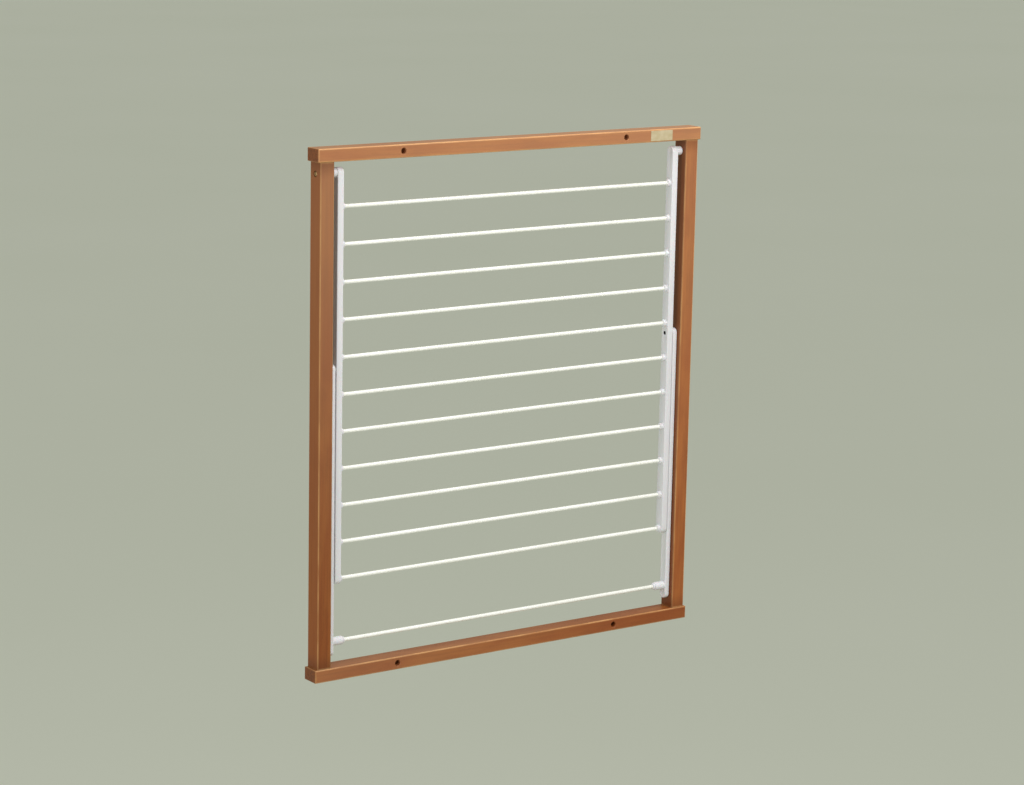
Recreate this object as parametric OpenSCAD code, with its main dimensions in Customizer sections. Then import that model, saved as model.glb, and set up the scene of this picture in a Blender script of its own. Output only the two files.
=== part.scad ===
// Wall mounted folding drying rack.
// A wooden frame is screwed flat to the wall. A white panel of rods is hinged at the
// top of the frame. It lifts up and out to horizontal. A white support frame is
// pivoted to the panel's side bars, and its feet run up grooves in the stiles.
// Millimetres, +Z up, +X to the right, +Y into the wall.
// Origin: the centre of the four wall screw holes, on the wall plane.

/* [Frame] */
// Length of the top and bottom rails
frame_w = 700; // [500:5:900]
// Height over both rails
frame_h = 798; // [600:2:1000]
// Depth of the rails, from the wall to the front
rail_depth = 31; // [24:0.5:40]
// Height of each rail
rail_h = 20; // [14:0.5:30]
// Width of each stile
stile_w = 23.9; // [16:0.1:30]
// How far the rail ends stand out past the stiles
rail_overhang = 4.4; // [0:0.1:15]
// How far the stile fronts sit behind the rail fronts
stile_setback = 1; // [0:0.5:4]
// How far the stile backs stand clear of the wall
stile_wall_gap = 1.5; // [0:0.5:3]
// Radius worked on the wooden edges
arris_r = 2; // [0.5:0.1:3]

/* [Wall screw holes] */
// Distance between the two holes in each rail
screw_spacing_x = 408; // [300:2:600]
// Diameter of the clearance hole for the screw
screw_hole_d = 5.5; // [4:0.1:8]
// Diameter of the counterbore for the screw head
screw_head_d = 9; // [8:0.2:12]
// Depth of the counterbore
screw_head_depth = 11; // [4:0.5:16]

/* [Corner dowels] */
// Diameter of the wooden dowels in the corner joints
dowel_d = 6; // [4:0.5:8]
// Length of each dowel
dowel_len = 24; // [16:1:26]
// Distance between the two dowels of a corner
dowel_spacing = 16; // [12:0.5:20]

/* [Rod panel] */
// Height of the panel hinge above the origin
hinge_z = 361.5; // [300:0.5:400]
// Width of each side bar
bar_w = 10.8; // [8:0.1:16]
// Depth of each side bar
bar_depth = 16; // [10:0.5:20]
// Distance from the centre to a side bar's inner face
bar_inner_x = 301.3; // [200:0.1:400]
// Number of rods in the panel
rod_count = 11; // [4:1:16]
// Distance between neighbouring rods
rod_pitch = 55.8; // [30:0.1:80]
// Height of the first rod above the origin
rod_first_z = 311.7; // [250:0.1:340]
// Diameter of the coated steel rods
rod_d = 6; // [4:0.5:10]
// How far each rod is let into the side bars
rod_embed = 6; // [3:0.5:8]
// Diameter of the collar round each rod, at the side bar
collar_d = 11.6; // [8:0.2:14]
// Diameter of the collar's nose
collar_nose_d = 11; // [6.4:0.2:12]
// How far each collar stands out of the side bar
collar_len = 5; // [2:0.1:8]
// Length of the chamfer on the collar's nose
collar_chamfer = 1.4; // [0.4:0.1:1.5]

/* [Support frame] */
// Height of the pivots between side bars and support arms
arm_pivot_z = 72.3; // [20:0.1:140]
// Height of the guide pins at the feet of the arms
guide_pin_z = -356.7; // [-370:0.1:-300]
// Width of each arm
arm_w = 8.1; // [7:0.1:14]
// Depth of each arm
arm_depth = 14.5; // [10:0.5:18]
// Space between a side bar and the arm beside it
arm_gap = 0.9; // [0.6:0.1:3]
// Height of the cross rod that joins the two arms
cross_rod_z = -342.5; // [-350:0.1:-260]
// Diameter of the sockets that hold the cross rod
socket_d = 13.4; // [10:0.2:16]
// Length of each socket
socket_len = 18; // [10:0.5:30]
// Length of the narrow ring at the end of each socket
socket_ring_len = 3; // [1:0.5:6]
// Diameter of that narrow ring
socket_ring_d = 10.4; // [8:0.2:12]

/* [Pivots and guides] */
// Diameter of the hinge screws' plain shanks
hinge_shank_d = 5; // [4:0.1:8]
// Diameter of the hinge screws' heads
hinge_head_d = 7.4; // [6:0.1:10]
// Depth of the counterbore that the hinge screw's head sits in
hinge_head_sink = 2.8; // [2.6:0.1:4]
// Diameter of the arm pivots and guide pins
pin_d = 6; // [4:0.1:8]
// How far the arm pivots sit behind the side bars' inner faces
pin_recess = 1; // [0.5:0.5:6]
// Depth of the moulded dimples over the hinges and guide pins
dimple_depth = 0.6; // [0.2:0.1:1]
// Radial running clearance of the pivots
run_clear = 0.08; // [0.02:0.01:0.1]
// Diameter of the guide rollers
roller_d = 9.4; // [7:0.1:12]
// Width of the groove in each stile
groove_w = 10; // [8:0.1:13]
// Depth of the groove in each stile
groove_depth = 9; // [6:0.5:12]
// How far the ledge at the groove's top reaches back towards the wall
ledge_reach = 6; // [3:0.5:8]

/* [Label] */
// Width of the blank label
label_w = 42; // [20:1:80]
// Thickness of the blank label
label_t = 0.4; // [0.2:0.1:1]
// Distance from the centre to the middle of the label
label_x = 272; // [100:0.2:300]

/* [Hidden] */
mid_y = -rail_depth / 2;
half_w = frame_w / 2;
half_h = frame_h / 2;
rail_mid_z = half_h - rail_h / 2;
stile_outer_x = half_w - rail_overhang;
stile_inner_x = stile_outer_x - stile_w;
stile_len = frame_h - 2 * rail_h;
stile_depth = rail_depth - stile_setback - stile_wall_gap;
bar_outer_x = bar_inner_x + bar_w;
arm_inner_x = bar_outer_x + arm_gap;
arm_outer_x = arm_inner_x + arm_w;
boss_d = 14.3;
boss_gap = 0.5;
boss_end_x = stile_inner_x - boss_gap;
bar_edge_r = 1.5;
arm_edge_r = 1.2;
rod_last_z = rod_first_z - rod_pitch * (rod_count - 1);
rod_half_len = bar_inner_x + rod_embed;
pivot_a = hinge_z - arm_pivot_z;
pivot_b = arm_pivot_z - guide_pin_z;
roller_open_z = hinge_z - sqrt(pivot_b * pivot_b - pivot_a * pivot_a);
ledge_clear = 0.1;
ledge_z = roller_open_z - roller_d / 2 - ledge_clear;
groove_head_room = 18;
groove_top_z = roller_open_z + groove_head_room;
groove_foot_room = 0.5;
groove_bottom_z = guide_pin_z - roller_d / 2 - groove_foot_room;
roller_len = groove_depth - 0.2;
roller_bore_depth = 6.5;
roller_bore_extra = 0.2;
dowel_x = stile_inner_x + stile_w / 2 + 1;
dowel_hole_extra = 0.1;
screw_chamfer = 1;
head_rim_t = 1.6;
head_t = 2.6;
head_crown_d = hinge_head_d - 2;
head_recess_w = 4;
head_slot_w = 0.9;
head_recess_depth = 1.4;
head_sink_extra = 2;
shank_hole_extra = 0.1;
shank_start = 2;
shank_hole_start = 1.6;
hinge_dimple_d = 7;
foot_dimple_d = 8;
pivot_flange_d = 8.4;
pivot_flange_t = 1.5;
pivot_flange_sink = 0.3;
pivot_cup_d = 9.2;
pivot_cup_depth = 2.2;
washer_d = 12;
washer_t = 0.7;
socket_chamfer = 0.8;
socket_floor = 3;
guide_pin_floor = 2;
// Added to the diameter of a hole that grips a pin or a rod
grip_extra = 0.06;
// How far a cutter or a joined shape reaches past the face it starts from
past = 1;
round_fn = 48;
small_fn = 32;

// Cylinder along +X from x0 to x1, centred on (y, z)
module rod_x(x0, x1, y, z, d, fn) {
    translate([x0, y, z])
        rotate([0, 90, 0])
            cylinder(h = x1 - x0, d = d, $fn = fn);
}

// Cone along +X from x0 (diameter d0) to x1 (diameter d1)
module cone_x(x0, x1, y, z, d0, d1, fn) {
    translate([x0, y, z])
        rotate([0, 90, 0])
            cylinder(h = x1 - x0, d1 = d0, d2 = d1, $fn = fn);
}

// Cylinder along +Y from y0 to y1, centred on (x, z)
module rod_y(x, z, y0, y1, d, fn) {
    translate([x, y0, z])
        rotate([-90, 0, 0])
            cylinder(h = y1 - y0, d = d, $fn = fn);
}

// Flat rectangle with rounded corners, centred
module round_rect(w, h, r) {
    square([w - 2 * r, h], center = true);
    square([w, h - 2 * r], center = true);
    for (sx = [-1, 1])
        for (sy = [-1, 1])
            translate([sx * (w / 2 - r), sy * (h / 2 - r)])
                circle(r = r, $fn = small_fn);
}

// Places the right-hand piece as it is, or mirrors it to the left
module on_side(side) {
    if (side > 0)
        children();
    if (side < 0)
        mirror([1, 0, 0])
            children();
}

// Wooden rail with every edge eased, centred on the origin
module rail_blank() {
    intersection() {
        rotate([90, 0, 90])
            translate([0, 0, -half_w])
                linear_extrude(height = frame_w)
                    round_rect(rail_depth, rail_h, arris_r);
        translate([0, 0, -rail_h])
            linear_extrude(height = 2 * rail_h)
                round_rect(frame_w, rail_depth, arris_r);
        rotate([90, 0, 0])
            translate([0, 0, -rail_depth])
                linear_extrude(height = 2 * rail_depth)
                    round_rect(frame_w, rail_h, arris_r);
    }
}

// Counterbored screw hole through a rail, bored from the front
module wall_screw_hole(x, z) {
    front = -rail_depth;
    rod_y(x, z, front - past, past, screw_hole_d, round_fn);
    rod_y(x, z, front - past, front + screw_head_depth, screw_head_d, round_fn);
    translate([x, front - 0.2, z])
        rotate([-90, 0, 0])
            cylinder(h = screw_chamfer, d1 = screw_head_d + 2 * screw_chamfer,
                d2 = screw_head_d, $fn = round_fn);
}

// Blind dowel holes shared by rails and stiles
module dowel_set(extra) {
    for (sx = [-1, 1])
        for (sz = [-1, 1])
            for (dy = [-dowel_spacing / 2, dowel_spacing / 2])
                translate([
                    sx * dowel_x,
                    mid_y + dy,
                    sz * (half_h - rail_h) - dowel_len / 2
                ])
                    cylinder(h = dowel_len, d = dowel_d + extra, $fn = small_fn);
}

module rail(sz) {
    difference() {
        translate([0, mid_y, sz * rail_mid_z])
            rail_blank();
        for (sx = [-1, 1])
            wall_screw_hole(sx * screw_spacing_x / 2, sz * rail_mid_z);
        dowel_set(dowel_hole_extra);
    }
}

module top_rail() {
    color([0.66, 0.42, 0.26])
        rail(1);
}

module bottom_rail() {
    color([0.62, 0.38, 0.23])
        rail(-1);
}

// Blind groove for the guide roller, with the ledge it rests on when open
module guide_groove() {
    gx = stile_inner_x - past;
    gd = groove_depth + past;
    gr = groove_w / 2;
    low_z = groove_bottom_z + gr;
    top_z = groove_top_z - gr;
    translate([gx, mid_y - gr, low_z])
        cube([gd, groove_w, top_z - low_z]);
    rod_x(gx, gx + gd, mid_y, low_z, groove_w, round_fn);
    rod_x(gx, gx + gd, mid_y, top_z, groove_w, round_fn);
    rod_x(gx, gx + gd, mid_y + ledge_reach, top_z, groove_w, round_fn);
    translate([gx, mid_y, ledge_z])
        cube([gd, gr + ledge_reach, top_z - ledge_z]);
    translate([gx, mid_y, top_z])
        cube([gd, ledge_reach, gr]);
}

module stile(side) {
    difference() {
        on_side(side)
            difference() {
                translate([
                    stile_inner_x + stile_w / 2,
                    -stile_wall_gap - stile_depth / 2,
                    -stile_len / 2
                ])
                    linear_extrude(height = stile_len)
                        round_rect(stile_w, stile_depth, arris_r);
                guide_groove();
                rod_x(stile_inner_x - past, stile_outer_x + past, mid_y, hinge_z,
                    hinge_shank_d + shank_hole_extra, round_fn);
                rod_x(stile_outer_x - hinge_head_sink, stile_outer_x + past, mid_y, hinge_z,
                    hinge_head_d + head_sink_extra, round_fn);
            }
        dowel_set(dowel_hole_extra);
    }
}

module left_stile() {
    color([0.58, 0.36, 0.21])
        stile(-1);
}

module right_stile() {
    color([0.6, 0.37, 0.22])
        stile(1);
}

module corner_dowels() {
    color([0.8, 0.66, 0.45])
        dowel_set(0);
}

module blank_label() {
    color([0.95, 0.88, 0.7])
        translate([label_x - label_w / 2, -rail_depth - label_t, half_h - rail_h + arris_r])
            cube([label_w, label_t, rail_h - 2 * arris_r]);
}

// Pan head on a shoulder screw: the head is sunk in the stile's outer face
module hinge_screw(side) {
    hx = stile_outer_x - hinge_head_sink;
    rim_x = hx + head_rim_t;
    recess_x = hx + head_t - head_recess_depth;
    color([0.5, 0.47, 0.42])
        on_side(side)
            difference() {
                union() {
                    rod_x(bar_inner_x + shank_start, hx + past, mid_y, hinge_z,
                        hinge_shank_d, round_fn);
                    rod_x(hx, rim_x, mid_y, hinge_z, hinge_head_d, round_fn);
                    cone_x(rim_x, hx + head_t, mid_y, hinge_z,
                        hinge_head_d, head_crown_d, round_fn);
                }
                translate([recess_x, mid_y - head_recess_w / 2, hinge_z - head_slot_w / 2])
                    cube([head_t, head_recess_w, head_slot_w]);
                translate([recess_x, mid_y - head_slot_w / 2, hinge_z - head_recess_w / 2])
                    cube([head_t, head_slot_w, head_recess_w]);
            }
}

module left_hinge_screw() {
    hinge_screw(-1);
}

module right_hinge_screw() {
    hinge_screw(1);
}

// Long bar with full round ends, between two heights, with its long edges eased
module round_end_bar(x0, w, depth, z_low, z_top, r) {
    intersection() {
        union() {
            translate([x0, mid_y - depth / 2, z_low])
                cube([w, depth, z_top - z_low]);
            rod_x(x0, x0 + w, mid_y, z_low, depth, round_fn);
            rod_x(x0, x0 + w, mid_y, z_top, depth, round_fn);
        }
        translate([x0 + w / 2, mid_y, z_low - depth])
            linear_extrude(height = z_top - z_low + 2 * depth)
                round_rect(w, depth, r);
    }
}

// Tapered collar round a rod's end, chamfered at its nose
module rod_collar(z) {
    nose_x = bar_inner_x - collar_len;
    chamfer_x = nose_x + collar_chamfer;
    cone_x(nose_x, chamfer_x, mid_y, z,
        collar_nose_d - 2 * collar_chamfer, collar_nose_d, small_fn);
    cone_x(chamfer_x, bar_inner_x + past, mid_y, z, collar_nose_d, collar_d, small_fn);
}

module side_bar(side) {
    color([0.9, 0.9, 0.9])
        on_side(side)
            difference() {
                union() {
                    round_end_bar(bar_inner_x, bar_w, bar_depth, rod_last_z, hinge_z,
                        bar_edge_r);
                    rod_x(bar_outer_x - past, boss_end_x, mid_y, hinge_z, boss_d, round_fn);
                    for (i = [0 : rod_count - 1])
                        rod_collar(rod_first_z - i * rod_pitch);
                }
                for (i = [0 : rod_count - 1])
                    rod_x(bar_inner_x - collar_len - past, rod_half_len, mid_y,
                        rod_first_z - i * rod_pitch, rod_d + grip_extra, small_fn);
                rod_x(bar_inner_x + shank_hole_start, boss_end_x + past, mid_y, hinge_z,
                    hinge_shank_d + 2 * run_clear, round_fn);
                rod_x(bar_inner_x - past, bar_inner_x + dimple_depth, mid_y, hinge_z,
                    hinge_dimple_d, round_fn);
                rod_x(bar_inner_x - past, bar_outer_x + past, mid_y, arm_pivot_z,
                    pin_d + grip_extra, round_fn);
            }
}

module left_side_bar() {
    side_bar(-1);
}

module right_side_bar() {
    side_bar(1);
}

// One coated steel rod of the panel, counted from the top
module drying_rod(i) {
    color([0.97, 0.97, 0.93])
        rod_x(-rod_half_len, rod_half_len, mid_y, rod_first_z - i * rod_pitch, rod_d, small_fn);
}

// Pin fixed deep in the side bar; its flanged end turns in the support arm
module arm_pivot(side) {
    end_x = arm_outer_x - pivot_flange_sink;
    color([0.42, 0.41, 0.4])
        on_side(side) {
            rod_x(bar_inner_x + pin_recess, end_x, mid_y, arm_pivot_z, pin_d, round_fn);
            rod_x(end_x - pivot_flange_t, end_x, mid_y, arm_pivot_z, pivot_flange_d, round_fn);
        }
}

module left_arm_pivot() {
    arm_pivot(-1);
}

module right_arm_pivot() {
    arm_pivot(1);
}

// Thin spacer between the side bar and the arm
module arm_washer(side) {
    color([0.85, 0.85, 0.83])
        on_side(side)
            difference() {
                rod_x(bar_outer_x, bar_outer_x + washer_t, mid_y, arm_pivot_z,
                    washer_d, round_fn);
                rod_x(bar_outer_x - past, bar_outer_x + washer_t + past, mid_y, arm_pivot_z,
                    pin_d + grip_extra, round_fn);
            }
}

module left_arm_washer() {
    arm_washer(-1);
}

module right_arm_washer() {
    arm_washer(1);
}

module support_arm(side) {
    sock_x = arm_inner_x - socket_len;
    ring_x = sock_x - socket_ring_len;
    chamfer_x = sock_x + socket_chamfer;
    color([0.86, 0.86, 0.86])
        on_side(side)
            difference() {
                union() {
                    round_end_bar(arm_inner_x, arm_w, arm_depth, guide_pin_z, arm_pivot_z,
                        arm_edge_r);
                    rod_x(chamfer_x, arm_inner_x + past, mid_y, cross_rod_z,
                        socket_d, round_fn);
                    cone_x(sock_x, chamfer_x, mid_y, cross_rod_z,
                        socket_d - 2 * socket_chamfer, socket_d, round_fn);
                    rod_x(ring_x, sock_x + past, mid_y, cross_rod_z, socket_ring_d, round_fn);
                }
                rod_x(ring_x - past, arm_inner_x - socket_floor, mid_y, cross_rod_z,
                    rod_d + grip_extra, small_fn);
                rod_x(arm_inner_x - past, arm_outer_x + past, mid_y, arm_pivot_z,
                    pin_d + 2 * run_clear, round_fn);
                rod_x(arm_outer_x - pivot_cup_depth, arm_outer_x + past, mid_y, arm_pivot_z,
                    pivot_cup_d, round_fn);
                rod_x(arm_inner_x + guide_pin_floor, arm_outer_x + past, mid_y, guide_pin_z,
                    pin_d + grip_extra, round_fn);
                rod_x(arm_inner_x - past, arm_inner_x + dimple_depth, mid_y, guide_pin_z,
                    foot_dimple_d, round_fn);
            }
}

module left_support_arm() {
    support_arm(-1);
}

module right_support_arm() {
    support_arm(1);
}

module support_cross_rod() {
    cross_half = arm_inner_x - socket_floor;
    color([0.97, 0.97, 0.93])
        rod_x(-cross_half, cross_half, mid_y, cross_rod_z, rod_d, small_fn);
}

// Pin let into the foot of an arm from outside, flush with its outer face
module guide_pin(side) {
    color([0.55, 0.54, 0.52])
        on_side(side)
            rod_x(arm_inner_x + guide_pin_floor, arm_outer_x, mid_y, guide_pin_z,
                pin_d, round_fn);
}

module left_guide_pin() {
    guide_pin(-1);
}

module right_guide_pin() {
    guide_pin(1);
}

// Roller that runs in the stile's groove, bored for the guide pin
module guide_roller(side) {
    color([0.8, 0.8, 0.78])
        on_side(side)
            difference() {
                rod_x(stile_inner_x, stile_inner_x + roller_len, mid_y, guide_pin_z,
                    roller_d, round_fn);
                rod_x(stile_inner_x - past, stile_inner_x + roller_bore_depth, mid_y,
                    guide_pin_z, pin_d + roller_bore_extra, round_fn);
            }
}

module left_guide_roller() {
    guide_roller(-1);
}

module right_guide_roller() {
    guide_roller(1);
}

top_rail();
bottom_rail();
left_stile();
right_stile();
corner_dowels();
blank_label();
left_hinge_screw();
right_hinge_screw();
left_side_bar();
right_side_bar();
drying_rod(0);  // drying_rod_01
drying_rod(1);  // drying_rod_02
drying_rod(2);  // drying_rod_03
drying_rod(3);  // drying_rod_04
drying_rod(4);  // drying_rod_05
drying_rod(5);  // drying_rod_06
drying_rod(6);  // drying_rod_07
drying_rod(7);  // drying_rod_08
drying_rod(8);  // drying_rod_09
drying_rod(9);  // drying_rod_10
drying_rod(10);  // drying_rod_11
left_arm_pivot();
right_arm_pivot();
left_arm_washer();
right_arm_washer();
left_support_arm();
right_support_arm();
support_cross_rod();
left_guide_pin();
right_guide_pin();
left_guide_roller();
right_guide_roller();
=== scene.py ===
"""Looks of the wall mounted folding drying rack. Metres, +X right, +Y into the wall, +Z up."""

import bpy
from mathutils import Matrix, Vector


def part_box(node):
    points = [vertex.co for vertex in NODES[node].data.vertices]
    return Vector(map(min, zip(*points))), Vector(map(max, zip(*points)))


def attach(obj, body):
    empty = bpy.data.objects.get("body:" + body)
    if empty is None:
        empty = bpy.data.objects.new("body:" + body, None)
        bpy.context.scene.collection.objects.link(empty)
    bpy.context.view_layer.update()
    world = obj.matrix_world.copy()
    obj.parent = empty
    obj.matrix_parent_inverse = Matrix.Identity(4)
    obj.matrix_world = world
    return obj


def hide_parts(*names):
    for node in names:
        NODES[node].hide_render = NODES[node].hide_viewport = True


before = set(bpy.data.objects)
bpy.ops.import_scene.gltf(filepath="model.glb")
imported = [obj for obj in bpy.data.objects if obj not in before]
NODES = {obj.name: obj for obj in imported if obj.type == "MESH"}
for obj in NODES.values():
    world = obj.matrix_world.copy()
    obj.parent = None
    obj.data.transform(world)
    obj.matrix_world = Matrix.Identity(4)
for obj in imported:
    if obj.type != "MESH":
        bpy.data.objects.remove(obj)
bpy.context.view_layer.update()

import math

import bmesh
import bpy
from mathutils import Matrix, Vector
from mathutils.geometry import delaunay_2d_cdt

MM = 0.001

# The stained wood
EDGE_WEAR_AND_SHEEN = 3.0 * MM  # width of the paler band along a worked edge, worn stain with a painted highlight
JOINT_SHADE = 26 * MM  # length of the painted shade at a stile's ends, where the rails meet it
STAIN_TONE = 0.69  # the tone at which the stiles' side stain was set

# The moulded parts, where the CAD boxes don't say
FILLET = 1.3 * MM  # round on the long edges of bars and arms
SLOPE = 0.25 * MM  # width of the soft step between a round and its face
ROD_LET_IN = 6 * MM  # how far each rod is let into its side bar
COLLAR_BASE = 5.75 * MM
COLLAR_TIP = 5.5 * MM
BOSS = 7.15 * MM  # radius of the hinge boss
HINGE_BORE = 2.6 * MM
PIN_COVER = 2 * MM  # wall of the arm behind each guide pin
CROSS_ROD_BORE = 3.05 * MM
RING_LENGTH = 3 * MM  # the narrow ring at the end of each cross rod socket
BORE_DEPTH = 0.8 * MM  # a bore round a rod is open this deep, and closes inside the rod
BORE_CLOSE = 0.15 * MM  # how far inside the rod's surface it closes

FLOOR_Z = -2.4


def srgb(r, g, b):
    """A colour given in 0-255 display values, as linear RGBA."""
    def lin(c):
        c /= 255
        return c / 12.92 if c <= 0.04045 else ((c + 0.055) / 1.055) ** 2.4
    return (lin(r), lin(g), lin(b), 1.0)


# ---------------------------------------------------------------- node helpers

class Tree:
    """A material's node tree, laid out in short calls. Every call returns an output socket."""

    def __init__(self, name):
        self.material = bpy.data.materials.new(name)
        self.material.use_nodes = True
        self.tree = self.material.node_tree
        self.tree.nodes.clear()
        out = self.tree.nodes.new("ShaderNodeOutputMaterial")
        self.shader = self.tree.nodes.new("ShaderNodeBsdfPrincipled")
        self.tree.links.new(self.shader.outputs[0], out.inputs["Surface"])
        self.here = self.tree.nodes.new("ShaderNodeTexCoord").outputs["Object"]

    def put(self, socket, value):
        """Links an output socket, or sets a constant."""
        if isinstance(value, bpy.types.NodeSocket):
            self.tree.links.new(value, socket)
        else:
            socket.default_value = value

    def node(self, kind, inputs=(), **settings):
        made = self.tree.nodes.new("ShaderNode" + kind)
        for key, value in settings.items():
            setattr(made, key, value)
        for key, value in dict(inputs).items():
            self.put(made.inputs[key], value)
        return made

    def math(self, operation, a, b=0.0):
        return self.node("Math", {0: a, 1: b}, operation=operation).outputs[0]

    def mapped(self, scale, shift=(0, 0, 0)):
        """Object coordinates, scaled per axis, for a texture whose features have that density."""
        return self.node("Mapping", {"Vector": self.here, "Scale": scale,
                                     "Location": shift}).outputs[0]

    def noise(self, vector, detail, rough=0.5, twist=0.0):
        return self.node("TexNoise", {"Vector": vector, "Scale": 1.0, "Detail": detail,
                                      "Roughness": rough, "Distortion": twist}).outputs["Fac"]

    def remap(self, value, low, high, to_low=0.0, to_high=1.0):
        """Smoothly maps low..high to to_low..to_high, and holds the ends."""
        return self.node("MapRange", {"Value": value, "From Min": low, "From Max": high,
                                      "To Min": to_low, "To Max": to_high},
                         interpolation_type="SMOOTHSTEP").outputs["Result"]

    def mix(self, factor, a, b):
        made = self.node("Mix", data_type="RGBA")
        self.put(made.inputs["Factor"], factor)
        self.put(made.inputs[6], a)
        self.put(made.inputs[7], b)
        return made.outputs[2]

    def ramp(self, factor, *stops):
        """Runs between two stops, each a place from 0 to 1 and its colour."""
        made = self.node("ValToRGB", {"Fac": factor})
        for point, (place, colour) in zip(made.color_ramp.elements, stops):
            point.position = place
            point.color = colour
        return made.outputs["Color"]

    def bump(self, height, distance, strength):
        return self.node("Bump", {"Height": height, "Distance": distance,
                                  "Strength": strength}).outputs["Normal"]

    def surface(self, **values):
        """Sets the shader's sockets. An underscore in a keyword stands for a space."""
        for key, value in values.items():
            self.put(self.shader.inputs[key.replace("_", " ")], value)
        return self.material


def lighter(colour, k):
    """A colour times k, held at 1."""
    return tuple(min(1.0, c * k) for c in colour[:3]) + (1.0,)


# ------------------------------------------------------------------ materials

def edge_mask(t, low, high, width):
    """1 on the worked edges of a box-shaped piece, 0 a width away from them."""
    parts = t.node("SeparateXYZ", {0: t.here}).outputs
    near = []
    for axis in range(3):
        a = t.math("SUBTRACT", parts[axis], low[axis])
        b = t.math("SUBTRACT", high[axis], parts[axis])
        near.append(t.math("MINIMUM", a, b))
    small = t.math("MINIMUM", near[0], near[1])
    large = t.math("MAXIMUM", near[0], near[1])
    second = t.math("MAXIMUM", small, t.math("MINIMUM", large, near[2]))
    return t.remap(second, 0.0, width, 1.0, 0.0)


def stained_wood(name, axis, seed, low, high, tone, painted_sheen):
    """Stained and lacquered beech: the grain runs along axis, and seed picks the board.
    painted_sheen is how much painted sheen, a pale colour that stands in for light reflected by
    the lacquer, lies at the board's low and high end."""
    t = Tree(name)
    shift = Vector((7.1 * seed, 3.7 * seed, 5.3 * seed))

    def along(cross, length):
        scale = [cross] * 3
        scale[axis] = length
        return t.mapped(scale, shift)

    blotch = t.noise(along(34, 6), detail=3, twist=0.5)
    cloud = t.noise(along(60, 16), detail=4, rough=0.6)
    streak = t.noise(along(360, 6), detail=4, rough=0.6)
    fibre = t.noise(along(1300, 42), detail=3, rough=0.65)
    fleck = t.noise(along(1500, 280), detail=2)
    pore = t.noise(along(4200, 190), detail=1)

    tan = lighter(srgb(172, 100, 44), tone)
    brown = lighter(srgb(136, 72, 28), tone)
    red = lighter(srgb(156, 80, 33), tone)
    dark = lighter(srgb(92, 43, 17), tone)
    pale = lighter(srgb(232, 178, 116), tone)
    colour = t.mix(t.remap(blotch, 0.34, 0.68), tan, red)
    colour = t.mix(t.remap(cloud, 0.48, 0.74, 0.0, 0.4), colour, brown)
    colour = t.mix(t.remap(streak, 0.44, 0.74, 0.0, 0.5), colour, brown)
    colour = t.mix(t.remap(fibre, 0.5, 0.8, 0.0, 0.3), colour, brown)
    colour = t.mix(t.remap(fleck, 0.64, 0.76, 0.0, 0.4), colour, dark)
    colour = t.mix(t.remap(pore, 0.62, 0.8, 0.0, 0.2), colour, dark)
    parts = t.node("SeparateXYZ", {0: t.here}).outputs
    # painted sheen: a pale colour mixed in along the board, standing in for reflected light
    sheen_fac = t.remap(parts[axis], low[axis], high[axis], *painted_sheen)
    colour = t.mix(sheen_fac, colour, srgb(198, 158, 122))
    # paler worked edges: partly worn stain, partly a painted highlight where the rounded arris
    # catches light
    edge = t.math("MULTIPLY", edge_mask(t, low, high, EDGE_WEAR_AND_SHEEN),
                  t.remap(t.noise(along(150, 24), detail=3), 0.3, 0.7, 0.4, 0.95))
    colour = t.mix(edge, colour, pale)
    reach = t.math("ABSOLUTE", parts[0])
    if axis == 0:
        end = t.remap(reach, high[0] - 1.6 * MM, high[0] - 0.1 * MM, 0.0, 0.85)
        mottle = t.noise(t.mapped((260, 330, 260), shift), detail=4, rough=0.7, twist=0.6)
        colour = t.mix(end, colour, t.mix(t.remap(mottle, 0.4, 0.66), brown, dark))
    else:
        # painted shade: the stile's inner face, between it and the side bar and arm, mixed
        # towards the dark colour
        inner = min(abs(low[0]), abs(high[0]))
        painted_inner_shade = t.remap(reach, inner + 0.2 * MM, inner + 2.0 * MM, 0.55, 0.0)
        colour = t.mix(painted_inner_shade, colour, dark)
        outer = max(abs(low[0]), abs(high[0]))
        side = t.remap(reach, outer - 0.8 * MM, outer - 0.1 * MM, 0.0, 0.5)
        colour = t.mix(side, colour, lighter(srgb(152, 78, 18), tone / STAIN_TONE))
        # painted shade: darker towards each end of the stile, in the corners at the rails
        joint_shade = t.remap(t.math("ABSOLUTE", parts[2]), high[2] - JOINT_SHADE, high[2], 0.0, 0.4)
        colour = t.mix(joint_shade, colour, dark)
    height = t.math("ADD", t.math("MULTIPLY", fibre, 0.7), t.math("MULTIPLY", pore, 0.5))
    return t.surface(
        Base_Color=colour,
        Roughness=t.remap(t.math("ADD", streak, fibre), 0.7, 1.3, 0.36, 0.5),
        IOR=1.47, Specular_IOR_Level=0.3, Coat_Weight=0.06, Coat_Roughness=0.34,
        Normal=t.bump(height, 0.05 * MM, 0.6))


def dowel_wood():
    """Unstained beech of the hidden corner dowels."""
    t = Tree("dowel_wood")
    grain = t.noise(t.mapped((900, 900, 30)), detail=4, rough=0.6)
    return t.surface(
        Base_Color=t.ramp(grain, (0.3, srgb(214, 178, 130)), (0.7, srgb(184, 142, 96))),
        Roughness=t.remap(grain, 0.3, 0.7, 0.6, 0.75),
        Normal=t.bump(grain, 0.05 * MM, 0.6))


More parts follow.
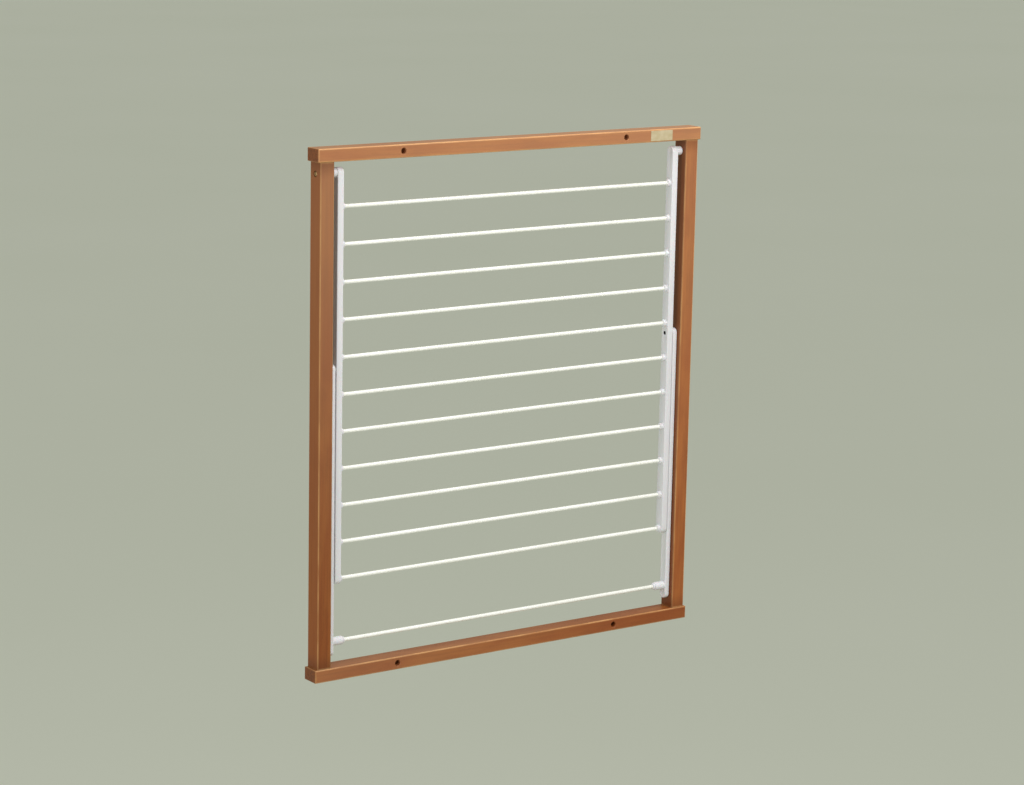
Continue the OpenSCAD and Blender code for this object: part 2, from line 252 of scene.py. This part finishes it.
def white_plastic(name, tint, seed):
    """Moulded white plastic with a fine spark-eroded texture and faint flow marks."""
    t = Tree(name)
    shift = (seed, 2.0 * seed, 3.0 * seed)
    cloud = t.noise(t.mapped((30, 30, 9), shift), detail=3)
    flow = t.noise(t.mapped((420, 420, 14), shift), detail=3, rough=0.6)
    grit = t.noise(t.mapped((2600, 2600, 2600), shift), detail=2)
    speck = t.noise(t.mapped((700, 700, 700), shift), detail=1)
    colour = t.mix(t.remap(cloud, 0.3, 0.7), srgb(*tint), lighter(srgb(*tint), 0.955))
    colour = t.mix(t.remap(flow, 0.5, 0.8, 0.0, 0.3), colour, lighter(srgb(*tint), 0.93))
    colour = t.mix(t.remap(speck, 0.72, 0.76, 0.0, 0.35), colour, srgb(196, 192, 182))
    height = t.math("ADD", t.math("MULTIPLY", grit, 0.6), t.math("MULTIPLY", flow, 0.5))
    return t.surface(
        Base_Color=colour,
        Roughness=t.remap(t.math("ADD", cloud, grit), 0.7, 1.3, 0.36, 0.5),
        IOR=1.5, Subsurface_Weight=0.06, Subsurface_Scale=0.002,
        Normal=t.bump(height, 0.03 * MM, 0.6))


def coated_steel():
    """Gloss white powder coat with a slight orange peel."""
    t = Tree("coated_steel")
    peel = t.noise(t.mapped((520, 900, 900)), detail=2)
    cloud = t.noise(t.mapped((14, 60, 60)), detail=3)
    colour = t.mix(t.remap(cloud, 0.3, 0.7), srgb(247, 247, 241), srgb(240, 240, 231))
    return t.surface(
        Base_Color=colour,
        Roughness=t.remap(cloud, 0.3, 0.7, 0.2, 0.32),
        IOR=1.52, Coat_Weight=0.35, Coat_Roughness=0.12,
        Normal=t.bump(peel, 0.04 * MM, 0.5))


def steel(name, tint, rough):
    """Turned steel with fine tool marks and a dull film."""
    t = Tree(name)
    turned = t.noise(t.mapped((9000, 700, 700)), detail=2)
    film = t.noise(t.mapped((240, 240, 240)), detail=4, rough=0.65)
    colour = t.mix(t.remap(film, 0.38, 0.66), srgb(*tint), lighter(srgb(*tint), 0.58))
    return t.surface(
        Base_Color=colour, Metallic=1.0,
        Roughness=t.remap(t.math("ADD", film, turned), 0.7, 1.3, rough - 0.08, rough + 0.14),
        Normal=t.bump(turned, 0.02 * MM, 0.6))


def nylon():
    """Natural nylon of the rollers and washers, rubbed where it runs."""
    t = Tree("nylon")
    cloud = t.noise(t.mapped((160, 160, 160)), detail=3)
    rub = t.noise(t.mapped((300, 2400, 2400)), detail=2)
    colour = t.mix(t.remap(cloud, 0.35, 0.68), srgb(226, 223, 212), srgb(206, 202, 188))
    return t.surface(
        Base_Color=colour, Roughness=t.remap(rub, 0.3, 0.7, 0.42, 0.6),
        Subsurface_Weight=0.12, Subsurface_Scale=0.002, Normal=t.bump(rub, 0.02 * MM, 0.5))


def label_paper():
    """Cream label stock, left blank."""
    t = Tree("label_paper")
    fibre = t.noise(t.mapped((900, 900, 1500)), detail=4, rough=0.6)
    cloud = t.noise(t.mapped((90, 90, 140)), detail=2)
    colour = t.mix(t.remap(cloud, 0.3, 0.7), srgb(190, 177, 145), srgb(180, 165, 129))
    colour = t.mix(t.remap(fibre, 0.55, 0.75, 0.0, 0.4), colour, srgb(164, 147, 108))
    return t.surface(
        Base_Color=colour, Roughness=0.55, Normal=t.bump(fibre, 0.02 * MM, 0.5))


# ---------------------------------------------------------------------- meshes

def arc(start, end, steps):
    """Cosine and sine of each angle from start to end degrees, both included."""
    angles = [math.radians(start + (end - start) * k / steps) for k in range(steps + 1)]
    return [(math.cos(a), math.sin(a)) for a in angles]


def circle(x, y, z, radius):
    """Outline of a circle about the X axis."""
    return [(x, y + radius * c, z + radius * s) for c, s in arc(0, 360, 32)[:-1]]


def stadium(x, y, z_low, z_top, radius):
    """Outline with full round ends, whose end centres are at z_low and z_top."""
    below = [(x, y + radius * c, z_low + radius * s) for c, s in arc(180, 360, 18)]
    above = [(x, y + radius * c, z_top + radius * s) for c, s in arc(0, 180, 18)]
    return below + above


def cross(x, y, z, reach, half):
    """Outline of a cross recess."""
    corner = [(reach, -half), (reach, half), (half, half)]
    outline = []
    for c, s in ((1, 0), (0, 1), (-1, 0), (0, -1)):
        outline += [(x, y + c * a - s * b, z + s * a + c * b) for a, b in corner]
    return outline


def lathe(profile, y, z):
    """Rings about the X axis through (y, z), from a list of (radius, x)."""
    return [circle(x, y, z, radius) for radius, x in profile]


def rounding(radius, x, size, out, steps=5):
    """Profile points that round a lathed shoulder over onto the flat face at x.
    out is +1 where the face looks along +X."""
    return [(radius - size + size * c, x - out * size * (1 - s)) for c, s in arc(0, 90, steps)]


def within(point, rim):
    """Whether a point is inside a closed outline."""
    odd = False
    for a, b in zip(rim, rim[1:] + rim[:1]):
        if (a.y > point.y) != (b.y > point.y):
            odd ^= point.x < a.x + (point.y - a.y) * (b.x - a.x) / (b.y - a.y)
    return odd


class Solid:
    """A closed mesh, made of rings of points that are joined side by side."""

    def __init__(self):
        self.made = bmesh.new()

    def ring(self, points):
        return [self.made.verts.new(p) for p in points]

    def skin(self, rings, first=None):
        """Joins each ring to the next, starting from the ring first if there is one."""
        last = first
        for points in rings:
            here = self.ring(points)
            if last:
                for i, corner in enumerate(here):
                    self.made.faces.new((last[i - 1], last[i], corner, here[i - 1]))
            else:
                self.start = here
            last = here
        return last

    def cap(self, outline, features=()):
        """Closes an outline. Each feature is a list of rings that leads away from a hole in
        the cap, and is closed at its last ring."""
        holes = [self.ring(rings[0]) for rings in features]
        loops = (outline, *holes)
        corners = [v for loop in loops for v in loop]
        flat = [Vector((v.co.y, v.co.z)) / MM for v in corners]
        edges, first = [], 0
        for loop in loops:
            edges += [(first + i, first + (i + 1) % len(loop)) for i in range(len(loop))]
            first += len(loop)
        rims = [[Vector((v.co.y, v.co.z)) / MM for v in hole] for hole in holes]
        for triangle in delaunay_2d_cdt(flat, edges, [], 0, 1e-5)[2]:
            centre = sum((flat[i] for i in triangle), Vector((0, 0))) / 3
            if not any(within(centre, rim) for rim in rims):
                self.made.faces.new([corners[i] for i in triangle])
        for hole, rings in zip(holes, features):
            self.made.faces.new(self.skin(rings[1:], hole))

    def shell(self, rings, features=()):
        """A closed shell: flat at its first ring, capped with features at its last."""
        end = self.skin(rings)
        self.made.faces.new(self.start)
        self.cap(end, features)

    def bar(self, inner, outer, y, z_low, z_top, depth, fillet, inside=(), outside=()):
        """A bar with full round ends and filleted faces, with features on both faces."""
        half = depth / 2
        rings = [stadium(inner, y, z_low, z_top, half - fillet)]
        for c, s in arc(0, 90, 5)[1:]:
            rings.append(stadium(inner + fillet * (1 - c), y, z_low, z_top,
                                 half - fillet * (1 - s)))
        for c, s in arc(90, 0, 5):
            rings.append(stadium(outer - fillet * (1 - c), y, z_low, z_top,
                                 half - fillet * (1 - s)))
        start = self.ring(stadium(inner, y, z_low, z_top, half - fillet - SLOPE))
        rings.append(stadium(outer, y, z_low, z_top, half - fillet - SLOPE))
        self.cap(start, inside)
        self.cap(self.skin(rings, start), outside)

    def piece(self, name, side, material, body):
        """Turns the solid into the piece that stands for a CAD node, mirrored for side -1."""
        for corner in self.made.verts:
            corner.co.x *= side
        bmesh.ops.recalc_face_normals(self.made, faces=self.made.faces)
        mesh = bpy.data.meshes.new(name)
        self.made.to_mesh(mesh)
        self.made.free()
        mesh.shade_smooth()
        mesh.set_sharp_from_angle(angle=math.radians(38))
        mesh.materials.append(material)
        shown = bpy.data.objects.new(name + "_shown", mesh)
        bpy.context.scene.collection.objects.link(shown)
        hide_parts(name)
        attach(shown, body)


def middle(node):
    """Centre of a node's box at rest."""
    low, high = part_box(node)
    return (low + high) / 2


def dimple(face, radius, y, z):
    """Shallow moulded dimple in a face that looks along -X."""
    steps = ((0.2, 0.0), (0.0, 0.15), (-0.2, 0.45), (-1.2, 0.6))
    return lathe([(radius + dr * MM, face + dx * MM) for dr, dx in steps], y, z)


def rod_collar(face, nose, base, tip, bore, y, z):
    """Domed collar round a rod: it swells out of the bar's face and closes on the rod."""
    root = ((0.45, 0.0), (0.24, 0.08), (0.1, 0.3), (0.0, 0.7))
    profile = [(base + dr * MM, face - dx * MM) for dr, dx in root]
    profile += rounding(tip, nose, 2.1 * MM, -1, 8)
    profile += [(bore, nose), (bore, nose + BORE_DEPTH), (bore - BORE_CLOSE, nose + BORE_DEPTH)]
    return lathe(profile, y, z)


def side_bar(side, material):
    """Moulded side bar: domed rod collars, hinge boss, pivot recess and hinge dimple."""
    name = ("left" if side < 0 else "right") + "_side_bar"
    low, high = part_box("right_side_bar")
    rods = [middle(node).z for node in NODES if node.startswith("drying_rod")]
    pivot, hinge = middle("right_arm_washer"), middle("right_hinge_screw")
    rod_half = (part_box("drying_rod_01")[1].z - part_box("drying_rod_01")[0].z) / 2
    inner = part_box("drying_rod_01")[1].x - ROD_LET_IN
    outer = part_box("right_arm_washer")[0].x
    depth, y = high.y - low.y, pivot.y
    bore = rod_half + 0.05 * MM
    inside = [rod_collar(inner, low.x, COLLAR_BASE, COLLAR_TIP, bore, y, z) for z in rods]
    recess = ((3.4, 0.0), (3.15, 0.12), (3.05, 0.4), (3.05, 1.3))
    inside.append(lathe([(r * MM, inner + dx * MM) for r, dx in recess], y, pivot.z))
    inside.append(dimple(inner, 3.3 * MM, y, hinge.z))
    made = Solid()
    made.bar(inner, outer, y, low.z + depth / 2, high.z - depth / 2, depth, FILLET, inside)
    boss = [(BOSS, outer - FILLET)] + rounding(BOSS, high.x, 0.9 * MM, 1)
    made.shell(lathe(boss, y, hinge.z),
               [lathe([(HINGE_BORE + 0.4 * MM, high.x), (HINGE_BORE, high.x - 0.4 * MM),
                       (HINGE_BORE, outer - 1.0 * MM)], y, hinge.z)])
    made.piece(name, side, material, "rod_panel")


def support_arm(side, material):
    """Moulded support arm: cross rod socket with its end ring, pivot recess, foot dimple."""
    name = ("left" if side < 0 else "right") + "_support_arm"
    low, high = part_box("right_support_arm")
    pivot, foot = middle("right_arm_washer"), middle("right_guide_pin")
    rod = middle("support_cross_rod")
    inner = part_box("right_guide_pin")[0].x - PIN_COVER
    outer, depth, y = high.x, high.y - low.y, pivot.y
    cup = ((4.8, 0.0), (4.6, 0.2), (4.6, 2.2))
    hole = ((3.05, 0.0), (3.05, 3.0))
    made = Solid()
    made.bar(inner, outer, y, foot.z, pivot.z, depth, FILLET,
             [dimple(inner, 3.8 * MM, y, foot.z)],
             [lathe([(r * MM, outer - dx * MM) for r, dx in cup], y, pivot.z),
              lathe([(r * MM, outer - dx * MM) for r, dx in hole], y, foot.z)])
    step = low.x + RING_LENGTH
    root, socket, neck, ring = 6.7 * MM, 6.55 * MM, 4.8 * MM, 5.15 * MM
    profile = [(root, inner + 1.0 * MM)] + rounding(socket, step, 1.1 * MM, -1)
    profile += [(4.9 * MM, step), (neck, step - 0.15 * MM), (neck, step - 0.5 * MM),
                (ring, step - 0.65 * MM)]
    profile += rounding(ring, low.x, 0.7 * MM, -1)
    bore = CROSS_ROD_BORE
    made.shell(lathe(profile, y, rod.z),
               [lathe([(bore, low.x), (bore, low.x + BORE_DEPTH),
                       (bore - BORE_CLOSE, low.x + BORE_DEPTH)], y, rod.z)])
    made.piece(name, side, material, "support_frame")


def hinge_screw(side, material):
    """Shoulder screw: domed pan head with a tapered cross recess."""
    name = ("left" if side < 0 else "right") + "_hinge_screw"
    low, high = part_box("right_hinge_screw")
    y, z = middle("right_hinge_screw").yz
    seat, top, crown = high.x - 2.6 * MM, high.x, 1.5 * MM
    shank = 2.5 * MM
    profile = [(shank, low.x), (shank, seat), (3.5 * MM, seat), (3.7 * MM, seat + 0.2 * MM)]
    for c, s in arc(0, 90, 6):
        profile.append(((2.4 + 1.3 * c) * MM, top - crown * (1 - s)))
    recess = [cross(top, y, z, 2.0 * MM, 0.45 * MM),
              cross(top - 0.8 * MM, y, z, 1.5 * MM, 0.38 * MM),
              cross(top - 1.6 * MM, y, z, 0.8 * MM, 0.3 * MM)]
    made = Solid()
    made.shell(lathe(profile, y, z), [recess])
    made.piece(name, side, material, "wall_frame")


# ------------------------------------------------------- stage, light, camera

def plain_floor(z):
    """A wide pale floor, well below the rack."""
    t = Tree("floor")
    soft = t.noise(t.mapped((0.35, 0.35, 0.35)), detail=3)
    t.surface(Base_Color=t.mix(soft, srgb(240, 243, 228), srgb(235, 239, 222)), Roughness=0.92)
    mesh = bpy.data.meshes.new("floor")
    half = 120.0
    mesh.from_pydata([(-half, -half, z), (half, -half, z), (half, half, z), (-half, half, z)],
                     [], [(0, 1, 2, 3)])
    mesh.materials.append(t.material)
    floor = bpy.data.objects.new("floor", mesh)
    bpy.context.scene.collection.objects.link(floor)


def soft_light(name, place, aim, size, power, colour):
    """A large square soft box that faces aim."""
    data = bpy.data.lights.new(name, "AREA")
    data.shape = "RECTANGLE"
    data.size, data.size_y = size
    data.energy = power
    data.color = colour
    lamp = bpy.data.objects.new(name, data)
    lamp.location = place
    lamp.rotation_mode = "QUATERNION"
    lamp.rotation_quaternion = (Vector(aim) - Vector(place)).to_track_quat("-Z", "Y")
    bpy.context.scene.collection.objects.link(lamp)


def studio():
    """An even soft surround, a little greener behind the rack, and three soft boxes."""
    world = bpy.data.worlds.new("studio")
    bpy.context.scene.world = world
    world.use_nodes = True
    tree = world.node_tree
    tree.nodes.clear()
    out = tree.nodes.new("ShaderNodeOutputWorld")
    glow = tree.nodes.new("ShaderNodeBackground")
    place = tree.nodes.new("ShaderNodeTexCoord")
    split = tree.nodes.new("ShaderNodeSeparateXYZ")
    fade = tree.nodes.new("ShaderNodeMapRange")
    mix = tree.nodes.new("ShaderNodeMix")
    mix.data_type = "RGBA"
    in_front, behind = (0.50, 0.50, 0.50, 1), (0.42, 0.45, 0.36, 1)
    mix.inputs[6].default_value = in_front
    mix.inputs[7].default_value = behind
    fade.inputs["From Min"].default_value = -0.1
    fade.inputs["From Max"].default_value = 0.7
    tree.links.new(place.outputs["Generated"], split.inputs[0])
    tree.links.new(split.outputs["Y"], fade.inputs["Value"])
    tree.links.new(fade.outputs["Result"], mix.inputs["Factor"])
    tree.links.new(mix.outputs[2], glow.inputs["Color"])
    tree.links.new(glow.outputs[0], out.inputs["Surface"])
    boxes = (  # name, place, aim, size, watts, colour
        ("key_light", (0.3, -1.95, 1.5), (0, 0, 0.1), (1.3, 1.0), 30, (1.0, 0.985, 0.98)),
        ("top_light", (0.7, -0.55, 1.9), (0, 0, 0), (1.6, 0.9), 19, (1.0, 0.99, 0.97)),
        ("left_light", (-3.0, -1.1, 0.4), (0, 0, 0), (1.2, 1.6), 30, (0.98, 0.98, 1.0)),
    )
    for box in boxes:
        soft_light(*box)
    bpy.context.scene.view_settings.view_transform = "Standard"
    bpy.context.scene.view_settings.look = "None"


def photo_camera():
    """The camera stands to the left, a little above, and looks right and down at the rack."""
    turn, down, roll = (math.radians(a) for a in (35.12, 11.45, 1.14))
    aim, distance = Vector((0.0071, -0.017, 0.0055)), 4.4206
    ahead = Vector((math.sin(turn) * math.cos(down), math.cos(turn) * math.cos(down),
                    -math.sin(down)))
    right = Vector((math.cos(turn), -math.sin(turn), 0))
    up = right.cross(ahead)
    right, up = (right * math.cos(roll) + up * math.sin(roll),
                 up * math.cos(roll) - right * math.sin(roll))
    data = bpy.data.cameras.new("camera")
    data.lens, data.sensor_width = 101.44, 36.0
    data.clip_start, data.clip_end = 0.1, 400.0
    camera = bpy.data.objects.new("camera", data)
    camera.matrix_world = Matrix((right, up, -ahead)).transposed().to_4x4()
    camera.location = aim - ahead * distance
    bpy.context.scene.collection.objects.link(camera)
    bpy.context.scene.camera = camera


# ------------------------------------------------------------------ finishing

def finish_node(name, material):
    """Gives a CAD node its finish."""
    NODES[name].material_slots[0].material = material


def wooden_frame():
    """Each board has its grain axis, its place in the timber, and its look."""
    boards = {
        # the painted_sheen pair is the painted sheen at each board's low and high end
        "top_rail": (0, 1.3, {"tone": 0.9, "painted_sheen": (0.27, 0.34)}),
        "bottom_rail": (0, 2.9, {"tone": 0.79, "painted_sheen": (0.16, 0.02)}),
        "left_stile": (2, 4.1, {"tone": 0.655, "painted_sheen": (0.0, 0.26)}),
        "right_stile": (2, 5.7, {"tone": 0.9, "painted_sheen": (0.02, 0.2)}),
    }
    for name, (axis, seed, look) in boards.items():
        finish_node(name, stained_wood(name + "_wood", axis, seed, *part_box(name), **look))
    finish_node("corner_dowels", dowel_wood())
    finish_node("blank_label", label_paper())


def rods_and_fittings():
    coat = coated_steel()
    # near-black pivot pins: painted shade, standing in for the dark inside of the pivot recess
    painted_shade_steel = steel("pivot_steel", (34, 33, 32), 0.55)
    pin_steel = steel("pin_steel", (176, 172, 166), 0.4)
    runner = nylon()
    for name in NODES:
        if name.startswith("drying_rod") or name == "support_cross_rod":
            finish_node(name, coat)
        elif name.endswith("arm_pivot"):
            finish_node(name, painted_shade_steel)
        elif name.endswith("guide_pin"):
            finish_node(name, pin_steel)
        elif name.endswith(("washer", "roller")):
            finish_node(name, runner)


def moulded_parts():
    bar_plastic = white_plastic("bar_plastic", (221, 220, 223), 1.7)
    arm_plastic = white_plastic("arm_plastic", (224, 223, 226), 4.9)
    screw_steel = steel("screw_steel", (198, 162, 116), 0.5)
    for side in (-1, 1):
        side_bar(side, bar_plastic)
        support_arm(side, arm_plastic)
        hinge_screw(side, screw_steel)


plain_floor(FLOOR_Z)
studio()
photo_camera()
wooden_frame()
rods_and_fittings()
moulded_parts()
